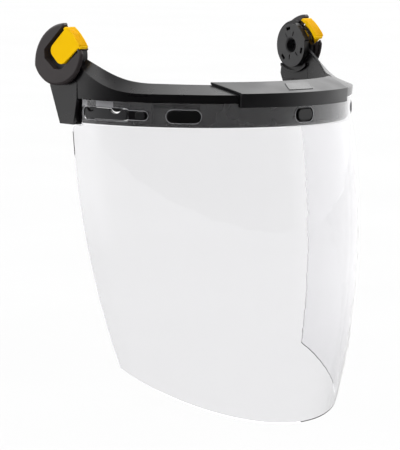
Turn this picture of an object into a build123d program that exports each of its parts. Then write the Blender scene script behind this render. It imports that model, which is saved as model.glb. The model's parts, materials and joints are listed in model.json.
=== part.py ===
from build123d import *
import os
from math import atan2, cos, degrees, radians, sin, sqrt

# A full-face shield that hangs from the two sides of a safety helmet.
# Millimetres. +Z is up, -Y is the front and X runs along the pivot axis. The origin is the
# middle of the pivot axis. Right and left are the wearer's: the right side is at -X.

os.makedirs("parts", exist_ok=True)

# ---------------------------------------------------------------- overall layout
hub_face_x = 103.0  # distance from the origin to each hub disc's helmet face, on the axis
band_centre_y = -13.0  # centre of the brow band's round front, seen from above
lens_thickness = 1.5
strip_radius = 106.8  # outer face of the lens's upright top strip, seen from above
strip_top_z = -28.3
strip_bottom_z = -44.7  # below this height the lens flares outwards
strip_end_y = -16.5  # the top strip stops here, in front of the arm's post

# ---------------------------------------------------------------- the lens below its strip
lens_tilt = 12.0  # lean of the lens's axis, forwards going down
lens_equator_radius = 108.0  # the lens's largest radius about its axis
lens_equator_h = -74.0  # where that is, along the axis
lens_profile_radius = 468.0  # gentle vertical curve of the lens
lens_step_z = -49.0  # the step under the strip ends here
lens_flare_stations = (lens_step_z, -62, -80, -105, -135, -165, -195, -222, -252)
lens_edge_margin = 3.0  # the lens is made this much too wide, then trimmed
lens_side_top = (-6.7, -46.0)  # Y and Z of the side edge's upper end
lens_side_bottom = (-33.5, -210.5)
lens_front_bottom = (-120.8, -245.0)
lens_corner_radius = 4.0

# ---------------------------------------------------------------- brow band
skin_bottom_z = -28.0  # the outer skin ends just above the lens's top edge
skin_wall = 3.0
skin_draft = 0.5  # the wall leans in by this much, going down
flange_thickness = 2.0
# One row per station of the half band: angle from the front about the band's centre, outer
# radius, height of the outer crease, width of the top flange, and how far the flange rises.
band_stations = [
    (0, 108.0, -22.6, 15.0, 5.7),
    (15, 108.0, -22.6, 15.0, 5.7),
    (30, 108.0, -22.6, 15.0, 5.7),
    (45, 108.0, -22.4, 15.0, 5.7),
    (57, 108.1, -22.4, 14.5, 5.9),
    (66, 108.4, -22.1, 13.0, 6.2),
    (73, 108.8, -20.1, 10.5, 6.8),
    (79, 109.2, -16.2, 8.0, 7.4),
    (85, 109.5, -10.0, 6.0, 6.5),
    (90, 109.6, -3.5, 5.0, 4.5),
]
seat_outer_radius = 105.0  # the wall that backs the lens's top strip
seat_wall = 2.2
seat_top_z = -24.5
seat_bottom_z = -44.5
seat_chamfer = 2.0

# ---------------------------------------------------------------- hubs, as heights above the face
disc_radius = 15.5
disc_face_cant = 6.0  # the disc's helmet face follows the helmet's side, in degrees
flange_back = 3.2  # back of the disc's flange
web_inner = 3.5  # the arm's bearing web
web_outer = 5.5
arm_outer = 6.6  # outer face of the arm, under the outer cover
cover_height = 13.2  # outer cover's face, on the axis
cover_cant = 8.0
stud_bore_radius = 5.0  # takes the helmet's 10 mm stud
bore_start = 0.8
sleeve_end = 7.2
sleeve_radius = 9.5
running_gap = 0.05
button_axis_angle = 45.0  # the buttons slide along a line this far above forwards
button_travel = 2.2


def hub_plane(height, angle=0.0):
    """Plane across the right hub, `height` outwards of its face: local x points forwards,
    turned up by `angle`, and local z points outwards."""
    a = radians(angle)
    return Plane(origin=(-hub_face_x - height, 0, 0), x_dir=(0, -cos(a), sin(a)), z_dir=(-1, 0, 0))


def canted_plane(height, cant):
    """Plane through the hub axis at `height` whose outward normal turns forwards by `cant`."""
    c = radians(cant)
    origin = (-hub_face_x - height, 0, 0)
    return Plane(origin=origin, x_dir=(sin(c), -cos(c), 0), z_dir=(-cos(c), -sin(c), 0))


def band_plane(angle):
    """Upright plane through the band's centre: local x points outwards at `angle` to the right
    of the front, and local y points up."""
    a = radians(angle)
    return Plane(origin=(0, band_centre_y, 0), x_dir=(-sin(a), -cos(a), 0), z_dir=(-cos(a), sin(a), 0))


def tangent_plane(angle, radius, z):
    """Upright plane that touches the band's cylinder of `radius` at `angle` to the right of the
    front: local x runs along the band towards its front, local y up and local z outwards."""
    a = radians(angle)
    origin = (-radius * sin(a), band_centre_y - radius * cos(a), z)
    return Plane(origin=origin, x_dir=(cos(a), -sin(a), 0), z_dir=(-sin(a), -cos(a), 0))


band_axis = Axis((0, band_centre_y, 0), (0, 0, 1))
finished = {}


def finish(name, part):
    """Label a finished piece and write it."""
    part.label = name
    export_step(part, f"parts/{name}.step")
    finished[name] = part


def finish_pair(name, part):
    """Write a right-hand piece and its mirror image for the left."""
    finish("right_" + name, part)
    with BuildPart() as twin:
        mirror(part, about=Plane.YZ)
    finish("left_" + name, twin.part)


# ================================================================ lens
tilt = radians(lens_tilt)
keyhole_z = -37.0
keyhole_angle = 77.2  # middle of the keyhole's wide part
keyhole_length = 38.0
keyhole_height = 8.9
keyhole_neck_angle = 65.0  # middle of the narrow part, which runs on into the wide one
keyhole_neck_length = 19.5
keyhole_neck_height = 6.3
side_oval_angle = 47.0
side_oval = (23.6, 9.0)
centre_oval = (16.4, 10.0)
lens_edge_slope = (lens_side_bottom[0] - lens_side_top[0]) / (lens_side_bottom[1] - lens_side_top[1])


def lens_radius(h):
    """Outer radius of the lens about its tilted axis, at `h` along it."""
    centre = lens_equator_radius - lens_profile_radius
    return centre + sqrt(lens_profile_radius**2 - (h - lens_equator_h) ** 2)


def lens_face(z, front_y, side_x, side_y):
    """Level section of the lens: a strip along the arc through its front and its two sides."""
    centre_y = (side_x**2 + side_y**2 - front_y**2) / (2 * (side_y - front_y))
    radius = centre_y - front_y
    half_angle = 90 + degrees(atan2(side_y - centre_y, side_x))
    with BuildSketch(Plane.XY.offset(z)) as section:
        with BuildLine():
            outer = CenterArc((0, centre_y), radius, 270 - half_angle, 2 * half_angle)
            inner = CenterArc((0, centre_y), radius - lens_thickness, 270 - half_angle, 2 * half_angle)
            Line(outer @ 0, inner @ 0)
            Line(outer @ 1, inner @ 1)
        make_face()
    return section.sketch


def flare_face(z):
    """Section of the flared part, whose surface turns about the tilted axis."""
    front_y = lens_front_bottom[0]
    for _ in range(12):
        h = front_y * sin(tilt) + z * cos(tilt)
        front_y = (z * sin(tilt) - lens_radius(h)) / cos(tilt)
    side_y = lens_side_top[0] + lens_edge_slope * (z - lens_side_top[1]) + lens_edge_margin
    h = side_y * sin(tilt) + z * cos(tilt)
    side_x = sqrt(lens_radius(h) ** 2 - (side_y * cos(tilt) - z * sin(tilt)) ** 2)
    return lens_face(z, front_y, side_x, side_y)


with BuildPart() as lens:
    # Upright top strip, the step under it and the flared part.
    strip_side_y = lens_side_top[0] + lens_edge_margin
    strip_side_x = sqrt(strip_radius**2 - (strip_side_y - band_centre_y) ** 2)
    strip_face = lens_face(strip_bottom_z, band_centre_y - strip_radius, strip_side_x, strip_side_y)
    extrude(strip_face, amount=strip_top_z - strip_bottom_z)
    loft([strip_face, flare_face(lens_step_z)], ruled=True)
    loft([flare_face(z) for z in lens_flare_stations])
    # Side view, with the strip's rear end, the side edge and the straight slanting bottom edge.
    with BuildSketch(Plane.YZ) as side_view:
        bottom_rise = lens_front_bottom[1] - lens_side_bottom[1]
        bottom_slope = bottom_rise / (lens_front_bottom[0] - lens_side_bottom[0])
        beyond_front_y = -140.0
        beyond_front_z = lens_side_bottom[1] + bottom_slope * (beyond_front_y - lens_side_bottom[0])
        with BuildLine():
            Polyline(
                (beyond_front_y, strip_top_z + 1),
                (strip_end_y, strip_top_z + 1),
                (strip_end_y, lens_side_top[1]),
                lens_side_top,
                lens_side_bottom,
                (beyond_front_y, beyond_front_z),
                close=True,
            )
        make_face()
        fillet(side_view.vertices().sort_by(Axis.Z)[1], lens_corner_radius)
    extrude(amount=130, both=True, mode=Mode.INTERSECT)
    # Keyholes and ovals that hook over the band's studs.
    for side in (1, -1):
        with BuildSketch(tangent_plane(side * keyhole_angle, strip_radius, keyhole_z)):
            RectangleRounded(keyhole_length, keyhole_height, 3.2)
        extrude(amount=12, both=True, mode=Mode.SUBTRACT)
        with BuildSketch(tangent_plane(side * keyhole_neck_angle, strip_radius, keyhole_z)):
            SlotOverall(keyhole_neck_length, keyhole_neck_height)
        extrude(amount=6, both=True, mode=Mode.SUBTRACT)
        with BuildSketch(tangent_plane(side * side_oval_angle, strip_radius, keyhole_z)):
            SlotOverall(*side_oval)
        extrude(amount=6, both=True, mode=Mode.SUBTRACT)
    with BuildSketch(tangent_plane(0, strip_radius, keyhole_z)):
        RectangleRounded(*centre_oval, 4.2)
    extrude(amount=6, both=True, mode=Mode.SUBTRACT)
finish("lens", lens.part)

# ================================================================ brow band with its two arms
latch_length = 34.4
latch_height = 7.2
latch_angle = 77.6
latch_gap = 0.35
# The window's two lugs: place along the window, height above its upper edge, radius, and the
# radius of the latch's notch round each.
latch_lugs = [(-12.0, 0.3, 2.6, 3.6), (8.6, 1.9, 4.2, 5.4)]
latch_pivot_radius = 100.6  # distance of the latch's pivot pin from the band's centre
latch_pivot_angle = 86.3
latch_pin_radius = 1.4
latch_neck_reach = 4.0
stud_size = (6.6, 5.4)
stud_angle = 63.0
side_boss = (21.4, 7.2)
centre_boss = (12.8, 7.7)
boss_gap = 0.05
cover_pegs = (-20, 0, 20)  # angles of the front cover's pegs
cover_peg_ring = 98.0
cover_peg_radius = 1.5
post_foot_z = -45.7
post_front_y = -11.3
post_front_foot_y = -10.6  # the outer plate's front edge leans
post_front_top_y = -14.0
post_inner_top_y = 8.0  # rear edge of the post's inner half
post_inner_foot_y = -1.0
ring_radius = 18.0
rim_radius = 19.4
rim_wall = 1.5
disc_clearance_radius = 17.7
rim_height = 2.0
pad_notch_u = 12.9
pad_notch_v = (-11.8, 9.1)
recess_angles = (41.4, 58.4)  # the seat wall is set back round the side boss
recess_depth = 0.9


def band_section(angle, outer_r, crease_z, flange_w, rise):
    """Section of the brow band's skin: an upright wall with a flange that slopes up and in."""
    wall_r = outer_r - skin_wall
    wall_top = crease_z + rise * skin_wall / flange_w
    with BuildSketch(band_plane(angle)) as section:
        with BuildLine():
            Polyline(
                (outer_r - skin_draft, skin_bottom_z),
                (outer_r, crease_z),
                (outer_r - flange_w, crease_z + rise),
                (outer_r - flange_w, crease_z + rise - flange_thickness),
                (wall_r, wall_top - flange_thickness - 0.3),
                (wall_r, skin_bottom_z),
                close=True,
            )
        make_face()
    return section.sketch


left_stations = [(-angle, *rest) for angle, *rest in reversed(band_stations[1:])]
band_sections = [band_section(*station) for station in left_stations + band_stations]
with BuildPart() as band_skin:
    loft(band_sections)

with BuildPart() as seat:
    # Seat wall behind the lens's top strip, with a lower edge that slopes to the outside.
    with BuildSketch(band_plane(0)):
        with BuildLine():
            Polyline(
                (seat_outer_radius, seat_top_z),
                (seat_outer_radius, seat_bottom_z + seat_chamfer),
                (seat_outer_radius - seat_chamfer, seat_bottom_z),
                (seat_outer_radius - seat_wall, seat_bottom_z),
                (seat_outer_radius - seat_wall, seat_top_z),
                close=True,
            )
        make_face()
    revolve(axis=band_axis, revolution_arc=-90)
    # Bridge between the seat wall and the outer skin, above the lens.
    with BuildSketch(Plane.XY.offset(skin_bottom_z)):
        with Locations((0, band_centre_y)):
            Circle(106.5)
            Circle(seat_outer_radius - 0.5, mode=Mode.SUBTRACT)
            Rectangle(300, 300, align=(Align.CENTER, Align.MIN), mode=Mode.SUBTRACT)
            Rectangle(300, 300, align=(Align.MIN, Align.CENTER), mode=Mode.SUBTRACT)
    extrude(amount=seat_top_z - skin_bottom_z)
    mirror(about=Plane.YZ)

with BuildPart() as right_arm:
    # Arm: a flat plate with the hub's ring and a post that comes down in front of the ear.
    with BuildSketch(Plane.YZ.offset(-hub_face_x - web_inner)) as arm:
        Circle(ring_radius)
        with BuildLine():
            Polyline(
                (13.2, -15.0),
                (14.0, -20.6),
                (3.4, post_foot_z),
                (post_front_foot_y, post_foot_z),
                (post_front_top_y, skin_bottom_z),
                (post_front_top_y, -3.5),
                (0, 0),
                close=True,
            )
        make_face()
    extrude(amount=web_inner - arm_outer)
    # The post's inner half, which meets the seat wall.
    seat_inner_x = seat_outer_radius - seat_wall
    with BuildSketch(Plane.YZ.offset(-seat_inner_x)):
        with BuildLine():
            Polyline(
                (band_centre_y - 0.5, seat_top_z),
                (post_inner_top_y, seat_top_z),
                (post_inner_foot_y, post_foot_z),
                (post_front_y, post_foot_z),
                (post_front_y, seat_bottom_z),
                (band_centre_y - 0.5, seat_bottom_z),
                close=True,
            )
        make_face()
    extrude(amount=seat_inner_x - seat_outer_radius)
    with BuildSketch(Plane.YZ.offset(-seat_outer_radius)):
        with BuildLine():
            Polyline(
                (post_front_y, seat_top_z),
                (post_inner_top_y, seat_top_z),
                (post_inner_foot_y, post_foot_z),
                (post_front_y, post_foot_z),
                close=True,
            )
        make_face()
    extrude(amount=seat_outer_radius - hub_face_x - web_inner)
    # Raised rim under the disc, on the arm's plate.
    with BuildSketch(hub_plane(web_inner)):
        Circle(rim_radius)
        Circle(rim_radius - rim_wall, mode=Mode.SUBTRACT)
        with Locations((0.7, -17.0)):
            Rectangle(25.4, 10.0, mode=Mode.INTERSECT)
    extrude(amount=-rim_height)
    # Lugs behind the latch's window, for its pivot pin.
    pivot_x = -latch_pivot_radius * sin(radians(latch_pivot_angle))
    pivot_y = band_centre_y - latch_pivot_radius * cos(radians(latch_pivot_angle))
    for lug_z in (seat_bottom_z + 1.0, -32.3):
        with BuildSketch(Plane.XY.offset(lug_z)):
            with Locations((pivot_x - 0.6, pivot_y)):
                Rectangle(6.0, 5.2)
        extrude(amount=2.2)
    # Pads on the seat wall that the lens's upper edge rests against.
    for pad_start, pad_sweep in ((81.0, 5.0), (67.5, 9.0), (54.0, 6.0), (33.0, 6.0), (18.0, 6.0)):
        with BuildSketch(band_plane(pad_start)):
            with Locations((seat_outer_radius, -30.1)):
                Rectangle(0.4, 3.4)
        revolve(axis=band_axis, revolution_arc=-pad_sweep)

with BuildPart() as right_cuts:
    # Room for the disc to turn, the web's bore, the retaining ring's recess and the pad's notch.
    with BuildSketch(hub_plane(-6)):
        Circle(disc_clearance_radius)
    extrude(amount=6 + web_inner)
    with BuildSketch(hub_plane(0)):
        Circle(sleeve_radius + running_gap)
    extrude(amount=cover_height)
    with BuildSketch(hub_plane(web_outer)):
        Circle(13.6)
    extrude(amount=cover_height - web_outer)
    with BuildSketch(hub_plane(0, button_axis_angle)):
        with Locations((pad_notch_u, pad_notch_v[0])):
            Rectangle(20, pad_notch_v[1] - pad_notch_v[0], align=(Align.MIN, Align.MIN))
    extrude(amount=cover_height)
    # Window for the lens latch, with two half-round lugs that hang from its upper edge.
    with BuildSketch(tangent_plane(latch_angle, seat_outer_radius, keyhole_z)):
        RectangleRounded(latch_length + 1.6, latch_height + 2 * latch_gap, 2.5)
        for along, above, lug_radius, _ in latch_lugs:
            with Locations((along, latch_height / 2 + latch_gap + above)):
                Circle(lug_radius, mode=Mode.SUBTRACT)
    extrude(amount=8, both=True)
    with BuildSketch(Plane.XY.offset(seat_bottom_z)):
        with Locations((pivot_x, pivot_y)):
            Circle(latch_pin_radius + running_gap)
    extrude(amount=seat_top_z - seat_bottom_z - 5.0)
    # The seat wall is set back round the side boss.
    with BuildSketch(band_plane(recess_angles[0])):
        with Locations((seat_outer_radius - recess_depth, keyhole_z)):
            Rectangle(6, 16, align=(Align.MIN, Align.CENTER))
    revolve(axis=band_axis, revolution_arc=recess_angles[0] - recess_angles[1])
    # Seats for the lens stud and the side boss.
    with BuildSketch(tangent_plane(stud_angle, seat_outer_radius, keyhole_z)):
        RectangleRounded(stud_size[0] + 2 * boss_gap, stud_size[1] + 2 * boss_gap, 2.2)
    extrude(amount=5, both=True)
    with BuildSketch(tangent_plane(side_oval_angle, seat_outer_radius, keyhole_z)):
        SlotOverall(side_boss[0] + 2 * boss_gap, side_boss[1] + 2 * boss_gap)
    extrude(amount=5, both=True)

with BuildPart() as visor_frame:
    add(band_skin.part)
    add(seat.part)
    add(right_arm.part)
    mirror(right_arm.part, about=Plane.YZ)
    add(right_cuts.part, mode=Mode.SUBTRACT)
    mirror(right_cuts.part, about=Plane.YZ, mode=Mode.SUBTRACT)
    # Seat for the centre boss, and holes for the front cover's pegs.
    with BuildSketch(tangent_plane(0, seat_outer_radius, keyhole_z)):
        RectangleRounded(centre_boss[0] + 2 * boss_gap, centre_boss[1] + 2 * boss_gap, 3.2)
    extrude(amount=5, both=True, mode=Mode.SUBTRACT)
    for angle in cover_pegs:
        with BuildSketch(Plane.XY.offset(-30)):
            with Locations(tangent_plane(angle, cover_peg_ring, 0).origin):
                Circle(cover_peg_radius + 0.1)
        extrude(amount=20, mode=Mode.SUBTRACT)
finish("visor_frame", visor_frame.part)

# ================================================================ front cover
cover_outer_radius = 109.8
cover_inner_radius = 108.2
cover_bottom_z = -30.9
cover_crease_z = -21.6
cover_slope = 0.38
cover_back_radius = 92.4
cover_front_angle = 27.0  # where each end's step meets the front wall
cover_back_angle = 36.5  # and the rear edge

with BuildPart() as front_cover:
    rear_rise = cover_slope * (cover_outer_radius - cover_back_radius)
    under_z = cover_crease_z + cover_slope * (cover_outer_radius - cover_inner_radius) - 1.45
    with BuildSketch(band_plane(0)):
        with BuildLine():
            Polyline(
                (cover_outer_radius - skin_draft, cover_bottom_z),
                (cover_outer_radius, cover_crease_z),
                (cover_back_radius, cover_crease_z + rear_rise),
                (cover_back_radius, cover_crease_z + rear_rise - 1.45),
                (cover_inner_radius, under_z),
                (cover_inner_radius, cover_bottom_z),
                close=True,
            )
        make_face()
    revolve(axis=band_axis, revolution_arc=90)
    mirror(about=Plane.YZ)
    # Trim both ends to the slanting step, seen from above.
    with BuildSketch(Plane.XY.offset(-40)):
        with BuildLine():
            front_a = radians(cover_front_angle)
            back_a = radians(cover_back_angle)
            front_x = 108.5 * sin(front_a)
            front_y = band_centre_y - 108.5 * cos(front_a)
            back_x = 93.0 * sin(back_a)
            back_y = band_centre_y - 93.0 * cos(back_a)
            Polyline(
                (-front_x, -140),
                (-front_x, front_y),
                (-back_x, back_y),
                (-back_x, -60),
                (back_x, -60),
                (back_x, back_y),
                (front_x, front_y),
                (front_x, -140),
                close=True,
            )
        make_face()
    extrude(amount=40, mode=Mode.INTERSECT)
    for angle in cover_pegs:
        peg_top = cover_crease_z + cover_slope * (cover_outer_radius - cover_peg_ring) - 0.7
        with BuildSketch(Plane.XY.offset(peg_top)):
            with Locations(tangent_plane(angle, cover_peg_ring, 0).origin):
                Circle(cover_peg_radius)
        extrude(amount=-5.5)
finish("front_cover", front_cover.part)

# ================================================================ studs, bosses and latches of the lens
with BuildPart() as lens_stud:
    with BuildSketch(tangent_plane(stud_angle, seat_outer_radius - seat_wall - 1.2, keyhole_z)):
        RectangleRounded(*stud_size, 2.2)
    extrude(amount=seat_wall + 1.2 + 2.1)
    with BuildSketch(tangent_plane(stud_angle, seat_outer_radius - seat_wall - 0.2, keyhole_z)):
        RectangleRounded(stud_size[0] + 2.4, stud_size[1] + 2.4, 2.4)
    extrude(amount=-1.4)
    fillet(lens_stud.faces().sort_by(Axis.X)[0].edges(), 0.5)
finish_pair("lens_stud", lens_stud.part)

with BuildPart() as side_boss_part:
    with BuildSketch(tangent_plane(side_oval_angle, seat_outer_radius - seat_wall - 1.2, keyhole_z)):
        SlotOverall(*side_boss)
    extrude(amount=seat_wall + 1.2 + 2.0)
    with BuildSketch(tangent_plane(side_oval_angle, seat_outer_radius - seat_wall - 0.95, keyhole_z)):
        SlotOverall(side_boss[0] + 3.0, side_boss[1] + 3.0)
    extrude(amount=-1.4)
finish_pair("lens_boss", side_boss_part.part)

with BuildPart() as centre_boss_part:
    with BuildSketch(tangent_plane(0, seat_outer_radius - seat_wall - 1.2, keyhole_z)):
        RectangleRounded(*centre_boss, 3.2)
    extrude(amount=seat_wall + 1.2 + 2.4)
    with BuildSketch(tangent_plane(0, seat_outer_radius - seat_wall - 0.4, keyhole_z)):
        RectangleRounded(centre_boss[0] + 3.0, centre_boss[1] + 3.0, 3.6)
    extrude(amount=-1.4)
    fillet(centre_boss_part.faces().sort_by(Axis.Y)[0].edges(), 0.6)
finish("centre_lens_boss", centre_boss_part.part)

with BuildPart() as lens_latch:
    with BuildSketch(tangent_plane(latch_angle, seat_outer_radius, keyhole_z)):
        RectangleRounded(latch_length, latch_height, 2.4)
        for along, above, _, notch_radius in latch_lugs:
            with Locations((along, latch_height / 2 + latch_gap + above)):
                Circle(notch_radius, mode=Mode.SUBTRACT)
    extrude(amount=8, both=True)
    with Locations((0, band_centre_y, keyhole_z)):
        Cylinder(106.3, 20, mode=Mode.INTERSECT)
        Cylinder(103.4, 20, mode=Mode.SUBTRACT)
    # Pivot pin and the short neck that joins it to the tongue, clear of the window's corners.
    with BuildSketch(Plane.XY.offset(keyhole_z - latch_height / 2 + 1.4)):
        with Locations((pivot_x, pivot_y)):
            Rectangle(latch_neck_reach, 2.4, align=(Align.MAX, Align.CENTER))
            Circle(1.9)
    extrude(amount=latch_height - 3.6)
    with BuildSketch(Plane.XY.offset(seat_bottom_z + 1.2)):
        with Locations((pivot_x, pivot_y)):
            Circle(latch_pin_radius)
    extrude(amount=14.2)
finish_pair("lens_latch", lens_latch.part)

# ================================================================ hubs
window_ring = 12.3
with BuildPart() as hub_disc:
    with BuildSketch(hub_plane(flange_back, button_axis_angle)):
        Circle(disc_radius)
        with Locations((7.5, 0)):
            Rectangle(15.0, 16.0)
    extrude(amount=-flange_back - 4)
    with BuildSketch(canted_plane(0, disc_face_cant)):
        Rectangle(80, 80)
    extrude(amount=-20, mode=Mode.SUBTRACT)
    with BuildSketch(hub_plane(flange_back)):
        Circle(sleeve_radius)
    extrude(amount=sleeve_end - flange_back)
    # Groove for the retaining ring.
    with BuildSketch(hub_plane(5.9)):
        Circle(sleeve_radius + 1)
        Circle(8.9, mode=Mode.SUBTRACT)
    extrude(amount=0.84, mode=Mode.SUBTRACT)
    # Stud bore with a flat counterbore round its mouth.
    with BuildSketch(hub_plane(-5)):
        Circle(stud_bore_radius)
    extrude(amount=20, mode=Mode.SUBTRACT)
    with BuildSketch(hub_plane(-5)):
        Circle(stud_bore_radius + 0.8)
    extrude(amount=5 + bore_start, mode=Mode.SUBTRACT)
    # Three windows near the rim, and shallow marks round the bore.
    with BuildSketch(hub_plane(-5)):
        with PolarLocations(window_ring, 3, start_angle=105):
            Rectangle(2.2, 4.4)
    extrude(amount=5 + flange_back, mode=Mode.SUBTRACT)
    for mark_angle in (74, 128, 260, 318):
        with BuildSketch(hub_plane(-5)):
            with PolarLocations(8.6, 1, start_angle=mark_angle):
                Rectangle(3.6, 0.9)
        extrude(amount=5 + 0.9, mode=Mode.SUBTRACT)
finish_pair("hub_disc", hub_disc.part)

with BuildPart() as friction_washer:
    with BuildSketch(hub_plane(5.54)):
        Circle(13.2)
        Circle(9.55, mode=Mode.SUBTRACT)
    extrude(amount=0.34)
finish_pair("friction_washer", friction_washer.part)

with BuildPart() as retaining_ring:
    with BuildSketch(hub_plane(5.92)):
        Circle(12.4)
        Circle(8.95, mode=Mode.SUBTRACT)
        with Locations((-10, 0)):
            Rectangle(10, 4.5, mode=Mode.SUBTRACT)
        with Locations((-10.9, 3.9), (-10.9, -3.9)):
            Circle(0.8, mode=Mode.SUBTRACT)
    extrude(amount=0.78)
finish_pair("retaining_ring", retaining_ring.part)

# The outer cover is a C whose opening faces forwards and up; its pocket guides the button.
neck_inset = 1.8
neck_top = 8.2
cavity_radius = 15.0
floor_inner = 8.5
floor_outer = 9.3


def cover_outline(height, inset):
    """Outline of the outer cover across the hub, drawn in by `inset`: local x is the slide."""
    with BuildSketch(hub_plane(height, button_axis_angle)) as outline:
        with BuildLine():
            ThreePointArc((19.4, 12.0), (-1.0, 18.3), (-19.2, 9.0))
            ThreePointArc((-19.2, 9.0), (-20.8, 0), (-18.2, -8.9))
            ThreePointArc((-18.2, -8.9), (-3.0, -19.5), (17.6, -14.5))
            Line((17.6, -14.5), (18.4, -11.0))
            Line((18.4, -11.0), (19.4, 12.0))
        make_face()
        if inset > 0:
            offset(amount=-inset, mode=Mode.REPLACE)
    return outline.sketch


with BuildPart() as outer_cover:
    # A narrow neck leaves a gap between the arm and the cover's full outline.
    extrude(cover_outline(neck_top, 0), amount=12)
    with BuildSketch(canted_plane(cover_height, cover_cant)):
        Rectangle(80, 80)
    extrude(amount=20, mode=Mode.SUBTRACT)
    fillet(outer_cover.faces().sort_by(Axis.X)[0].edges(), 1.8)
    extrude(cover_outline(arm_outer, neck_inset), amount=neck_top - arm_outer)
    with BuildSketch(hub_plane(arm_outer, button_axis_angle)) as pocket:
        with BuildLine():
            Polyline(
                (24, 10.2),
                (-4.4, 10.4),
                (-8.6, 5.6),
                (-7.4, -5.5),
                (-3.0, -9.6),
                (24, -12.1),
                close=True,
            )
        make_face()
        fillet(pocket.vertices().sort_by(Axis.X)[:4], 2.2)
    extrude(amount=20, mode=Mode.SUBTRACT)
    with BuildSketch(hub_plane(arm_outer)):
        Circle(cavity_radius)
    extrude(amount=floor_outer - arm_outer, mode=Mode.SUBTRACT)
finish_pair("outer_cover", outer_cover.part)

stem_u = 11.2
stem_length = 3.4
stem_width = 6.0
with BuildPart() as pocket_floor:
    with BuildSketch(hub_plane(floor_inner, button_axis_angle)):
        Circle(cavity_radius - 0.1)
        with Locations((stem_u - button_travel / 2, 0)):
            Rectangle(stem_length + button_travel + 0.6, stem_width + 0.6, mode=Mode.SUBTRACT)
    extrude(amount=floor_outer - floor_inner)
    # Post that the button's spring pushes against.
    with BuildSketch(hub_plane(floor_outer, button_axis_angle)):
        with Locations((-0.2, 0)):
            Rectangle(1.2, 2.4)
    extrude(amount=2.0)
finish_pair("pocket_floor", pocket_floor.part)

button_lift = 0.3
pad_centre = (-18.8, -3.0)
pad_outer_radius = 40.0
pad_inner_radius = 38.1
pad_v = (-10.9, 8.2)
rib_v = (-9.8, 7.1)
with BuildPart() as release_button:
    with BuildSketch(hub_plane(floor_outer + button_lift, button_axis_angle)) as plate:
        with BuildLine():
            Polyline(
                (20.2, 7.2),
                (-2.0, 7.2),
                (-2.0, -8.0),
                (20.2, -9.7),
                close=True,
            )
        make_face()
        fillet(plate.vertices().sort_by(Axis.X)[:2], 5.2)
    extrude(amount=8)
    # Thumb pad, an arc that closes the cover's opening and reaches in past the arm.
    with BuildSketch(hub_plane(web_inner, button_axis_angle)):
        with Locations(pad_centre):
            Circle(pad_outer_radius)
            Circle(pad_inner_radius, mode=Mode.SUBTRACT)
        with Locations((10, pad_v[0])):
            Rectangle(20, pad_v[1] - pad_v[0], align=(Align.MIN, Align.MIN), mode=Mode.INTERSECT)
    extrude(amount=14)
    with BuildSketch(hub_plane(0, button_axis_angle)):
        with Locations(pad_centre):
            Circle(60)
            Circle(pad_outer_radius, mode=Mode.SUBTRACT)
    extrude(amount=30, mode=Mode.SUBTRACT)
    with BuildSketch(canted_plane(cover_height + 0.1, cover_cant)):
        Rectangle(80, 80)
    extrude(amount=20, mode=Mode.SUBTRACT)
    # Ribs across the thumb pad.
    for rib in range(6):
        with BuildSketch(hub_plane(web_inner + 0.9 + 1.25 * rib, button_axis_angle)):
            with Locations(pad_centre):
                Circle(pad_outer_radius + 0.45)
                Circle(pad_outer_radius - 0.6, mode=Mode.SUBTRACT)
            with Locations((10, rib_v[0])):
                Rectangle(20, rib_v[1] - rib_v[0], align=(Align.MIN, Align.MIN), mode=Mode.INTERSECT)
        extrude(amount=0.6)
    # Groove for the spring, and the stem that carries the latch plate.
    with BuildSketch(hub_plane(floor_outer, button_axis_angle)):
        with Locations((-1.4, 0)):
            Rectangle(8.9, 3.0, align=(Align.MIN, Align.CENTER))
    extrude(amount=2.7, mode=Mode.SUBTRACT)
    with BuildSketch(hub_plane(7.5, button_axis_angle)):
        with Locations((stem_u, 0)):
            Rectangle(stem_length, stem_width)
    extrude(amount=3)
finish_pair("release_button", release_button.part)

latch_plate_thickness = 0.7
with BuildPart() as latch_plate:
    with BuildSketch(hub_plane(7.5, button_axis_angle)):
        with Locations((2.4, 0)):
            RectangleRounded(23.0, 14.0, 3.0)
        with Locations((button_travel, 0)):
            Circle(stud_bore_radius + 0.3, mode=Mode.SUBTRACT)
        with Locations((stem_u, 0)):
            Rectangle(stem_length + 0.02, stem_width + 0.02, mode=Mode.SUBTRACT)
    extrude(amount=latch_plate_thickness)
finish_pair("latch_plate", latch_plate.part)

spring_radius = 0.95
spring_wire = 0.18
spring_start_u = 0.6
spring_length = 6.6
with BuildPart() as button_spring:
    a = radians(button_axis_angle)
    spring_axis_x = -hub_face_x - floor_outer - 1.35
    spring_origin = (spring_axis_x, -spring_start_u * cos(a), spring_start_u * sin(a))
    with BuildLine():
        spring_line = (0, -cos(a), sin(a))
        wire = Helix(1.1, spring_length - 0.4, spring_radius, center=spring_origin, direction=spring_line)
    with BuildSketch(Plane(origin=wire @ 0, z_dir=wire % 0)):
        Circle(spring_wire)
    sweep(is_frenet=True)
finish_pair("button_spring", button_spring.part)

for name, part in finished.items():
    box = part.bounding_box()
    print(f"{name}: {len(part.solids())} solid, {part.volume / 1000:.2f} cm3, size {box.size}")
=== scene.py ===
import json
from math import cos, pi, radians, sin

import bpy
from mathutils import Matrix, Vector
from mathutils.bvhtree import BVHTree


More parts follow.
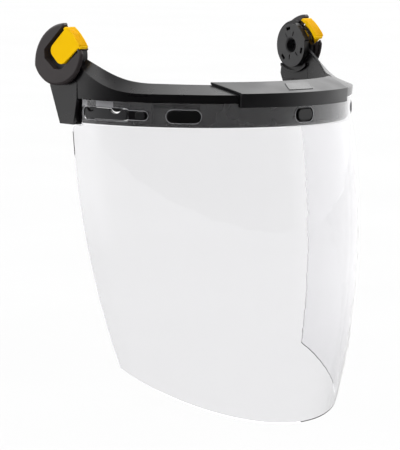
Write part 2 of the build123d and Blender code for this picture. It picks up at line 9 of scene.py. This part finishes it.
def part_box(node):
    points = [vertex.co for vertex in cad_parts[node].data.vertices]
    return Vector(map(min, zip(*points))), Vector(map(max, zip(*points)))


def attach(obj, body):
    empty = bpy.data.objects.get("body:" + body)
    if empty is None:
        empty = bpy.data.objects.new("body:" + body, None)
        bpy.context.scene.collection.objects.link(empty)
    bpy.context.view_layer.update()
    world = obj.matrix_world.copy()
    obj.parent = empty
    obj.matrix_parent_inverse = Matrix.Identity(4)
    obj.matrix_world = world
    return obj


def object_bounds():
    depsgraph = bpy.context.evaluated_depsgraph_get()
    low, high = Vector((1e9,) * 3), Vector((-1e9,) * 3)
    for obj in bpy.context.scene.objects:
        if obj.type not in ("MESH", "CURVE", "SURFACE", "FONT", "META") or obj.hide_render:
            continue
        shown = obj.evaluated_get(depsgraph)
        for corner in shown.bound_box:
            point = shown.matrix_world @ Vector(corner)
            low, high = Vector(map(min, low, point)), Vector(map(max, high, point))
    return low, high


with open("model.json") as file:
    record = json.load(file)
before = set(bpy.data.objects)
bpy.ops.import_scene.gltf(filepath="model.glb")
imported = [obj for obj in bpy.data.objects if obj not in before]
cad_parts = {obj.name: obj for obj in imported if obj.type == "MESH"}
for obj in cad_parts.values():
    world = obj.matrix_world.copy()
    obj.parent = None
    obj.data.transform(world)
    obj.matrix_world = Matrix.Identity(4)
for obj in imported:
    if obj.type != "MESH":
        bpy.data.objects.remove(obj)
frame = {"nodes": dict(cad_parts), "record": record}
CAD_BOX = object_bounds()

SLOT_OF = {row["node"]: row["material_slot"] for row in frame["record"]["subparts"]}


# ---------------------------------------------------------------- node helpers
NOISE_LOW, NOISE_HIGH = 0.3, 0.7  # noise stays mostly between these


def new_material(name):
    """An empty node material with its output, and the function that adds nodes to it."""
    material = bpy.data.materials.new(name)
    material.use_nodes = True
    tree = material.node_tree
    tree.nodes.clear()
    output = tree.nodes.new("ShaderNodeOutputMaterial")
    return material, tree, output


def add(tree, kind, **values):
    """A node of `kind`, with its properties or input sockets set by name."""
    node = tree.nodes.new(kind)
    for key, value in values.items():
        if hasattr(node, key):
            setattr(node, key, value)
        else:
            node.inputs[key.replace("_", " ")].default_value = value
    return node


def object_noise(tree, scale, detail=4.0, stretch=(1, 1, 1)):
    """Noise fixed to the object, `scale` cells to the metre."""
    place = add(tree, "ShaderNodeTexCoord")
    mapping = add(tree, "ShaderNodeMapping")
    mapping.inputs["Scale"].default_value = stretch
    tree.links.new(place.outputs["Object"], mapping.inputs["Vector"])
    noise = add(tree, "ShaderNodeTexNoise", Scale=scale, Detail=detail)
    tree.links.new(mapping.outputs["Vector"], noise.inputs["Vector"])
    return noise.outputs["Fac"]


def map_range(tree, value, span):
    """Takes `value` from span's first two numbers to its last two."""
    node = add(tree, "ShaderNodeMapRange")
    for socket, number in zip(("From Min", "From Max", "To Min", "To Max"), span):
        node.inputs[socket].default_value = number
    tree.links.new(value, node.inputs["Value"])
    return node.outputs["Result"]


def between(tree, factor, low, high):
    """Number that goes from low to high as a noise factor does."""
    return map_range(tree, factor, (NOISE_LOW, NOISE_HIGH, low, high))


def mix_colours(tree, factor, low, high):
    """Colour that goes from low to high as a noise factor does."""
    ramp = add(tree, "ShaderNodeValToRGB")
    ramp.color_ramp.elements[0].position = NOISE_LOW
    ramp.color_ramp.elements[0].color = (*low, 1)
    ramp.color_ramp.elements[1].position = NOISE_HIGH
    ramp.color_ramp.elements[1].color = (*high, 1)
    tree.links.new(factor, ramp.inputs["Fac"])
    return ramp.outputs["Color"]


CLOUD_SCALE, GRAIN_SCALE = 55, 2600  # cells to the metre
PLASTIC_DETAIL = 3
PLASTIC_SPREAD = 0.05  # roughness either side of its mean
GRAIN_HEIGHT = 0.00005


def moulded(name, colour, roughness, grain=0.25, edge=0.0003, shift=0.18, specular=0.5):
    """Moulded plastic: fine spark-eroded grain, cloudy roughness and softened edges."""
    material, tree, output = new_material(name)
    shader = add(tree, "ShaderNodeBsdfPrincipled")
    shader.inputs["Specular IOR Level"].default_value = specular
    cloud = object_noise(tree, CLOUD_SCALE, PLASTIC_DETAIL)
    fine = object_noise(tree, GRAIN_SCALE, PLASTIC_DETAIL)
    low = tuple(c * (1 - shift) for c in colour)
    high = tuple(c * (1 + shift) for c in colour)
    tree.links.new(mix_colours(tree, cloud, low, high), shader.inputs["Base Color"])
    gloss = between(tree, cloud, roughness - PLASTIC_SPREAD, roughness + PLASTIC_SPREAD)
    tree.links.new(gloss, shader.inputs["Roughness"])
    bevel = add(tree, "ShaderNodeBevel", samples=4, Radius=edge)
    bump = add(tree, "ShaderNodeBump", Strength=grain, Distance=GRAIN_HEIGHT)
    tree.links.new(fine, bump.inputs["Height"])
    tree.links.new(bevel.outputs["Normal"], bump.inputs["Normal"])
    tree.links.new(bump.outputs["Normal"], shader.inputs["Normal"])
    tree.links.new(shader.outputs["BSDF"], output.inputs["Surface"])
    return material


MARK_SCALE, MARK_DETAIL = 900, 4
MARK_STRETCH = (1, 0.15, 1)
MARK_SHADE = 0.85  # a mark's brightness beside the bare steel's
STEEL_SPREAD = 0.06


def steel(name, colour, roughness):
    """Pressed or drawn steel with fine marks along one direction."""
    material, tree, output = new_material(name)
    shader = add(tree, "ShaderNodeBsdfPrincipled", Metallic=1.0)
    marks = object_noise(tree, MARK_SCALE, MARK_DETAIL, MARK_STRETCH)
    low = tuple(c * MARK_SHADE for c in colour)
    tree.links.new(mix_colours(tree, marks, low, colour), shader.inputs["Base Color"])
    gloss = between(tree, marks, roughness - STEEL_SPREAD, roughness + STEEL_SPREAD)
    tree.links.new(gloss, shader.inputs["Roughness"])
    tree.links.new(shader.outputs["BSDF"], output.inputs["Surface"])
    return material


LENS_IOR = 1.5
HAZE_SCALE, HAZE_DETAIL = 30, 4
HAZE_ROUGHNESS = 0.02


def clear_lens(name, tint):
    """Clear polycarbonate sheet that lets lamps through to what is behind it."""
    material, tree, output = new_material(name)
    shader = add(tree, "ShaderNodeBsdfPrincipled", IOR=LENS_IOR)
    shader.inputs["Transmission Weight"].default_value = 1.0
    shader.inputs["Base Color"].default_value = (*tint, 1)
    haze = object_noise(tree, HAZE_SCALE, HAZE_DETAIL)
    tree.links.new(between(tree, haze, 0.0, HAZE_ROUGHNESS), shader.inputs["Roughness"])
    path = add(tree, "ShaderNodeLightPath")
    through = add(tree, "ShaderNodeBsdfTransparent")
    mix = add(tree, "ShaderNodeMixShader")
    tree.links.new(path.outputs["Is Shadow Ray"], mix.inputs["Fac"])
    tree.links.new(shader.outputs["BSDF"], mix.inputs[1])
    tree.links.new(through.outputs["BSDF"], mix.inputs[2])
    tree.links.new(mix.outputs["Shader"], output.inputs["Surface"])
    return material


MATERIALS = {
    "lens_clear": clear_lens("lens_clear", (0.875, 0.872, 0.885)),
    "frame_black": moulded("frame_black", (0.0046, 0.0040, 0.0050), 0.29, specular=0.42),
    "cap_grey": moulded("cap_grey", (0.0075, 0.0070, 0.0085), 0.34),
    "stud_grey": moulded("stud_grey", (0.014, 0.014, 0.015), 0.32),
    "boss_black": moulded("boss_black", (0.003, 0.003, 0.0036), 0.36),
    "latch_grey": moulded("latch_grey", (0.02, 0.02, 0.022), 0.4),
    "hub_black": moulded("hub_black", (0.014, 0.014, 0.015), 0.42),
    "hub_cover": moulded("hub_cover", (0.034, 0.027, 0.028), 0.45),
    "pocket_black": moulded("pocket_black", (0.016, 0.016, 0.021), 0.42),
    "button_yellow": moulded("button_yellow", (0.95, 0.56, 0.0), 0.5, shift=0.03, specular=0.05),
    "washer_rubber": moulded("washer_rubber", (0.02, 0.02, 0.02), 0.7),
    "ring_steel": steel("ring_steel", (0.55, 0.55, 0.57), 0.3),
    "latch_steel": steel("latch_steel", (0.6, 0.6, 0.62), 0.28),
    "spring_steel": steel("spring_steel", (0.6, 0.6, 0.62), 0.25),
}

for node_name, node in frame["nodes"].items():
    for material_slot in node.material_slots:
        material_slot.material = MATERIALS[SLOT_OF[node_name]]

# Pale grey for the seat pads: a painted sheen standing in for light reflected off the raised pads.
PAD_PAINTED_SHEEN = moulded("pad_painted_sheen", (0.50, 0.50, 0.52), 0.85, grain=0.6, shift=0.1)
# Near-black for the seat wall's recesses: painted shade, a dark sheet where there is only shadow.
PAINTED_SHADE_SHEET = moulded("painted_shade_black", (0.0016, 0.0016, 0.0018), 0.6, specular=0.15)
# Pale grey for the lips round the lens's openings: a painted highlight, not the clear lens's own
# colour.
LIP_PAINTED_HIGHLIGHT = moulded("lip_painted_highlight", (0.42, 0.42, 0.44), 0.2, grain=0.05, shift=0.08)
BADGE_BLANK = moulded("badge_blank", (0.010, 0.010, 0.011), 0.25, grain=0.1)


# ---------------------------------------------------------------- pieces
BAND_CENTRE_Y = -0.013  # centre of the brow band's round front
SEAT_RADIUS = 0.105  # outer face of the wall behind the lens's upper strip


def mesh_piece(name, points, faces, body, material):
    """Mesh of a new piece that rides on `body`."""
    mesh = bpy.data.meshes.new(name)
    mesh.from_pydata([tuple(p) for p in points], [], faces)
    mesh.validate()
    mesh.update()
    mesh.materials.append(material)
    piece = bpy.data.objects.new(name, mesh)
    bpy.context.scene.collection.objects.link(piece)
    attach(piece, body)
    return mesh


def solid_piece(name, outer, inner, columns, body, material):
    """Closed slab between two grids of points, `columns` points to a row."""
    rows = len(outer) // columns
    count = len(outer)
    faces = []
    for r in range(rows - 1):
        for c in range(columns - 1):
            a = r * columns + c
            quad = (a, a + 1, a + columns + 1, a + columns)
            faces.append(quad)
            faces.append(tuple(count + i for i in reversed(quad)))
    rim = list(range(columns))
    rim += [r * columns + columns - 1 for r in range(1, rows)]
    rim += [(rows - 1) * columns + c for c in range(columns - 2, -1, -1)]
    rim += [r * columns for r in range(rows - 2, 0, -1)]
    for i, a in enumerate(rim):
        b = rim[(i + 1) % len(rim)]
        faces.append((b, a, count + a, count + b))
    mesh = mesh_piece(name, outer + inner, faces, body, material)
    for polygon in mesh.polygons:
        polygon.use_smooth = False


def band_point(angle, radius, z):
    """Point at `angle` to the right of the front about the band's centre."""
    a = radians(angle)
    return Vector((-radius * sin(a), BAND_CENTRE_Y - radius * cos(a), z))


def arc_slab(name, angles, radii, heights, side, material):
    """Curved slab on the visor from radii[0] out to radii[1]; `side` is 1 or -1."""
    inner, outer = ([band_point(a, r, z) for z in heights for a in angles] for r in radii)
    if side < 0:
        outer, inner = inner, outer
    solid_piece(name, outer, inner, len(angles), "visor", material)


SIDES = ((1, "right"), (-1, "left"))
PAD_ARCS = ((74.0, 81.8), (86.0, 88.6))  # degrees round from the front
PAD_STEPS = 10
PAD_PROUD, PAD_SUNK = 0.00024, 0.00010  # outside and inside the seat wall's face
PAD_TOP, PAD_BOTTOM = 0.0003, 0.0043  # below the lens's top


def build_seat_pads():
    """Raised pads on the seat wall, behind the lens's upper edge, pale grey as a painted sheen of
    light off them.
    """
    lens_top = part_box("lens")[1].z
    heights = (lens_top - PAD_BOTTOM, lens_top - PAD_TOP)
    radii = (SEAT_RADIUS - PAD_SUNK, SEAT_RADIUS + PAD_PROUD)
    for side, side_name in SIDES:
        for index, (start, end) in enumerate(PAD_ARCS):
            angles = [side * (start + (end - start) * i / PAD_STEPS) for i in range(PAD_STEPS + 1)]
            name = f"{side_name}_seat_pad_{index}"
            arc_slab(name, angles, radii, heights, side, PAD_PAINTED_SHEEN)


def surface_tree(name):
    """Ray-cast tree of one CAD node, in the rest pose."""
    node = frame["nodes"][name]
    points = [node.matrix_world @ v.co for v in node.data.vertices]
    return BVHTree.FromPolygons(points, [tuple(p.vertices) for p in node.data.polygons])


BADGE_HALF_WIDTH, BADGE_SLANT = 0.0108, 0.0022
BADGE_NEAR, BADGE_FAR = 0.0038, 0.0132  # behind the cover's front
BADGE_PROUD, BADGE_SUNK = 0.00035, 0.0002  # from the cover's surface
BADGE_BOW = 0.2  # twice the radius that the badge's rows bend to
ABOVE_COVER = 0.05


def build_badge():
    """Blank badge plate with slanted ends on the middle of the front cover's slope."""
    cover = surface_tree("front_cover")
    front_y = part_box("front_cover")[0].y
    columns, rows = 13, 7
    outer, inner = [], []
    for r in range(rows):
        for c in range(columns):
            across = -1 + 2 * c / (columns - 1)
            depth = r / (rows - 1)
            x = BADGE_HALF_WIDTH * across + BADGE_SLANT * (2 * depth - 1)
            y = front_y + BADGE_NEAR + (BADGE_FAR - BADGE_NEAR) * depth + (x * x) / BADGE_BOW
            point, normal = cover.ray_cast(Vector((x, y, ABOVE_COVER)), Vector((0, 0, -1)))[:2]
            outer.append(point + normal * BADGE_PROUD)
            inner.append(point - normal * BADGE_SUNK)
    solid_piece("cover_badge", outer, inner, columns, "visor", BADGE_BLANK)


# Where the painted shade sheets go, in the seat wall's recesses.
SHADE_SHEET_ARC = (41.7, 58.1)
SHADE_SHEET_STEPS = 16
SHADE_SHEET_RADIUS, SHADE_SHEET_HALF = 0.1041, 0.0002  # middle of its thickness, and half of it
SHADE_SHEET_TOP, SHADE_SHEET_BOTTOM = 0.0008, 0.0036  # below the lens's top, above the frame's foot


def build_recess_shade_sheets():
    """Dull near-black sheets in the two places where the seat wall is set back: painted shade for
    the recesses' shadow.
    """
    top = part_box("lens")[1].z - SHADE_SHEET_TOP
    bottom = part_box("visor_frame")[0].z + SHADE_SHEET_BOTTOM
    start, end = SHADE_SHEET_ARC
    radii = (SHADE_SHEET_RADIUS - SHADE_SHEET_HALF, SHADE_SHEET_RADIUS + SHADE_SHEET_HALF)
    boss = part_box("right_lens_boss")
    hole_low, hole_high = boss[0].z, boss[1].z
    for side, side_name in SIDES:
        angles = [side * (start + (end - start) * i / SHADE_SHEET_STEPS) for i in range(SHADE_SHEET_STEPS + 1)]
        for index, heights in enumerate(((bottom, hole_low), (hole_high, top))):
            name = f"{side_name}_recess_shade_sheet_{index}"
            arc_slab(name, angles, radii, heights, side, PAINTED_SHADE_SHEET)


BEAD_SIDES = 6
SHORTEST_STEP = 1e-5


def edge_bead(name, path, radius, body, material):
    """Closed round bead of `radius` along a loop of points."""
    path = [p for i, p in enumerate(path) if (p - path[i - 1]).length > SHORTEST_STEP]
    points = []
    count = len(path)
    for i in range(count):
        ahead = (path[(i + 1) % count] - path[i - 1]).normalized()
        outwards = Vector((path[i].x, path[i].y - BAND_CENTRE_Y, 0)).normalized()
        across = ahead.cross(outwards).normalized()
        outwards = across.cross(ahead).normalized()
        for k in range(BEAD_SIDES):
            turn = 2 * pi * k / BEAD_SIDES
            points.append(path[i] + radius * (cos(turn) * across + sin(turn) * outwards))
    faces = []
    for i in range(count):
        j = (i + 1) % count
        for k in range(BEAD_SIDES):
            m = (k + 1) % BEAD_SIDES
            here, there = i * BEAD_SIDES, j * BEAD_SIDES
            faces.append((here + k, here + m, there + m, there + k))
    mesh_piece(name, points, faces, body, material)


def opening_path(angle, arcs, z, radius, steps=7):
    """Loop of points round an opening in the strip: arcs are (along, up, radius, start, end)."""
    path = []
    for along, up, arc_radius, start, end in arcs:
        for i in range(steps + 1):
            turn = radians(start + (end - start) * i / steps)
            offset = (along + arc_radius * cos(turn)) / radius * 180 / pi
            path.append(band_point(angle + offset, radius, z + up + arc_radius * sin(turn)))
    return path


def rounded_arcs(length, height, corner):
    """The four corner arcs of a rounded opening."""
    along, up = length / 2 - corner, height / 2 - corner
    centres = ((along, up, 0), (-along, up, 90), (-along, -up, 180), (along, -up, 270))
    return [(x, z, corner, start, start + 90) for x, z, start in centres]


def keyhole_arcs(rearwards):
    """The keyhole's wide part and its neck as one outline; `rearwards` is 1 or -1."""
    arcs = [
        (0.0158, 0.00125, 0.0032, 0, 90),
        (-0.0158, 0.00125, 0.0032, 90, 143.6),
        (-0.02935, 0.0, 0.00315, 90, 270),
        (-0.0158, -0.00125, 0.0032, 216.4, 270),
        (0.0158, -0.00125, 0.0032, 270, 360),
    ]
    if rearwards > 0:
        return arcs
    return [(-x, z, r, 180 - start, 180 - end) for x, z, r, start, end in arcs]


LIP_RADIUS, LIP_SUNK = 0.00017, 0.00055  # the lip's own, and how far behind the boss's face
CENTRE_SIZE = (0.0164, 0.0100, 0.0042)  # length, height and corner
OVAL_SIZE, OVAL_ANGLE = (0.0236, 0.0090, 0.0045), 47.0
KEYHOLE_ANGLE = 77.2


def build_lens_rims():
    """Thin rounded lips round the lens's openings, pale grey as a painted highlight of the clear
    lens's edges.
    """
    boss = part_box("centre_lens_boss")
    lip_radius = BAND_CENTRE_Y - boss[0].y - LIP_SUNK
    z = (boss[0].z + boss[1].z) / 2
    openings = [("centre", 0, rounded_arcs(*CENTRE_SIZE))]
    for side, side_name in SIDES:
        openings.append((side_name + "_oval", side * OVAL_ANGLE, rounded_arcs(*OVAL_SIZE)))
        openings.append((side_name + "_keyhole", side * KEYHOLE_ANGLE, keyhole_arcs(side)))
    for name, angle, arcs in openings:
        path = opening_path(angle, arcs, z, lip_radius)
        edge_bead(name + "_lip", path, LIP_RADIUS, "visor", LIP_PAINTED_HIGHLIGHT)


build_seat_pads()
build_badge()
build_recess_shade_sheets()
build_lens_rims()


# ---------------------------------------------------------------- stage
FLOOR_REACH, FLOOR_DROP = 60.0, 0.32  # metres each way, and below the shield
FLOOR_GREYS = ((0.66,) * 3, (0.67,) * 3)
FLOOR_SCALE = 2


def build_floor():
    """Pale floor, well below the shield. Reflections see the studio instead of it."""
    size = FLOOR_REACH
    mesh = bpy.data.meshes.new("floor")
    corners = [(-size, -size, 0), (size, -size, 0), (size, size, 0), (-size, size, 0)]
    mesh.from_pydata(corners, [], [(0, 1, 2, 3)])
    floor = bpy.data.objects.new("floor", mesh)
    floor.location.z = CAD_BOX[0].z - FLOOR_DROP
    bpy.context.scene.collection.objects.link(floor)
    material, tree, output = new_material("floor_paper")
    shader = add(tree, "ShaderNodeBsdfPrincipled", Roughness=0.9)
    shader.inputs["Specular IOR Level"].default_value = 0.1
    greys = mix_colours(tree, object_noise(tree, FLOOR_SCALE), *FLOOR_GREYS)
    tree.links.new(greys, shader.inputs["Base Color"])
    tree.links.new(shader.outputs["BSDF"], output.inputs["Surface"])
    mesh.materials.append(material)
    floor.visible_glossy = False


def fill_ramp(ramp, stops):
    """Set a colour ramp's grey stops from (position, value) pairs."""
    for i, (position, value) in enumerate(stops):
        if i < 2:
            element = ramp.color_ramp.elements[i]
            element.position = position
        else:
            element = ramp.color_ramp.elements.new(position)
        element.color = (value, value, value, 1)


# Studio brightness by direction: degrees round from the front (towards +X positive), and value.
STUDIO_ROUND = [
    (-180, 1.6), (-128, 1.7), (-114, 0.5), (-100, 0.12), (-95, 0.02), (-70, 0.02),
    (-66, 0.05), (-42, 0.06), (0, 0.10), (24, 0.34), (44, 1.5), (56, 1.8), (92, 2.0), (180, 1.3),
]


FLOOR_SIDE = (-0.30, -0.15, 0.12, 1.0)  # direction's Z from and to, brightness from and to
CEILING = (0.33, 0.72, 0.8, 5.0)  # direction's X from and to, brightness from and to
CEILING_EDGE = (0.44, 0.58, 0.0, 1.0)  # direction's Z from and to, share from and to


def build_world():
    """Studio surroundings: brighter to the left and behind, dark from the right to the front."""
    world = bpy.data.worlds.new("studio")
    bpy.context.scene.world = world
    world.use_nodes = True
    tree = world.node_tree
    tree.nodes.clear()
    output = tree.nodes.new("ShaderNodeOutputWorld")
    background = add(tree, "ShaderNodeBackground")
    place = add(tree, "ShaderNodeTexCoord")
    parts = add(tree, "ShaderNodeSeparateXYZ")
    tree.links.new(place.outputs["Generated"], parts.inputs["Vector"])
    backwards = add(tree, "ShaderNodeMath", operation="MULTIPLY")
    backwards.inputs[1].default_value = -1
    tree.links.new(parts.outputs["Y"], backwards.inputs[0])
    azimuth = add(tree, "ShaderNodeMath", operation="ARCTAN2")
    tree.links.new(parts.outputs["X"], azimuth.inputs[0])
    tree.links.new(backwards.outputs[0], azimuth.inputs[1])
    turn = map_range(tree, azimuth.outputs[0], (-pi, pi, 0.0, 1.0))
    ramp = add(tree, "ShaderNodeValToRGB")
    brightest = max(value for _, value in STUDIO_ROUND)
    fill_ramp(ramp, [((angle + 180) / 360, value / brightest) for angle, value in STUDIO_ROUND])
    tree.links.new(turn, ramp.inputs["Fac"])
    sides = add(tree, "ShaderNodeMath", operation="MULTIPLY")
    sides.inputs[1].default_value = brightest
    tree.links.new(ramp.outputs["Color"], sides.inputs[0])
    # The floor side is dimmer.
    low = map_range(tree, parts.outputs["Z"], FLOOR_SIDE)
    walls = add(tree, "ShaderNodeMath", operation="MULTIPLY")
    tree.links.new(sides.outputs[0], walls.inputs[0])
    tree.links.new(low, walls.inputs[1])
    # The ceiling is brighter towards the wearer's left.
    ceiling = map_range(tree, parts.outputs["X"], CEILING)
    above = map_range(tree, parts.outputs["Z"], CEILING_EDGE)
    mix = add(tree, "ShaderNodeMix")
    tree.links.new(above, mix.inputs["Factor"])
    tree.links.new(walls.outputs[0], mix.inputs["A"])
    tree.links.new(ceiling, mix.inputs["B"])
    tree.links.new(mix.outputs["Result"], background.inputs["Strength"])
    tree.links.new(background.outputs["Background"], output.inputs["Surface"])


SUN_STRENGTH, SUN_WIDTH = 1.7, 60  # width and tilts in degrees
SUN_TILTS = (-18, -32)


def build_sun():
    """Broad overhead light."""
    lamp = bpy.data.lights.new("overhead", "SUN")
    lamp.energy = SUN_STRENGTH
    lamp.angle = radians(SUN_WIDTH)
    sun = bpy.data.objects.new("overhead", lamp)
    sun.rotation_euler = (radians(SUN_TILTS[0]), radians(SUN_TILTS[1]), 0)
    bpy.context.scene.collection.objects.link(sun)


CAMERA_AT = Vector((-1.33654, -1.47687, 0.11836))
CAMERA_TURNS = (42.483, 6.894, 0.5175)  # degrees round, down and rolled
SENSOR_WIDTH, FOCAL_LENGTH = 36.0, 228.97  # millimetres
VIEW_REACH = 200


def camera_axes():
    """Right, up and forward of the camera."""
    turn, drop, roll = (radians(degrees) for degrees in CAMERA_TURNS)
    forward = Vector((sin(turn) * cos(drop), cos(turn) * cos(drop), -sin(drop)))
    level = Vector((cos(turn), -sin(turn), 0))
    right = level * cos(roll) + level.cross(forward) * sin(roll)
    return right, right.cross(forward), forward


def build_camera():
    """Long lens, seen from the wearer's front right and a little above."""
    right, up, forward = camera_axes()
    camera = bpy.data.objects.new("camera", bpy.data.cameras.new("camera"))
    camera.data.sensor_width = SENSOR_WIDTH
    camera.data.lens = FOCAL_LENGTH
    camera.data.clip_end = VIEW_REACH
    rotation = Matrix((right, up, -forward)).transposed()
    camera.matrix_world = Matrix.Translation(CAMERA_AT) @ rotation.to_4x4()
    bpy.context.scene.collection.objects.link(camera)
    bpy.context.scene.camera = camera


build_floor()
build_world()
build_sun()
build_camera()
bpy.context.scene.view_settings.view_transform = "Standard"
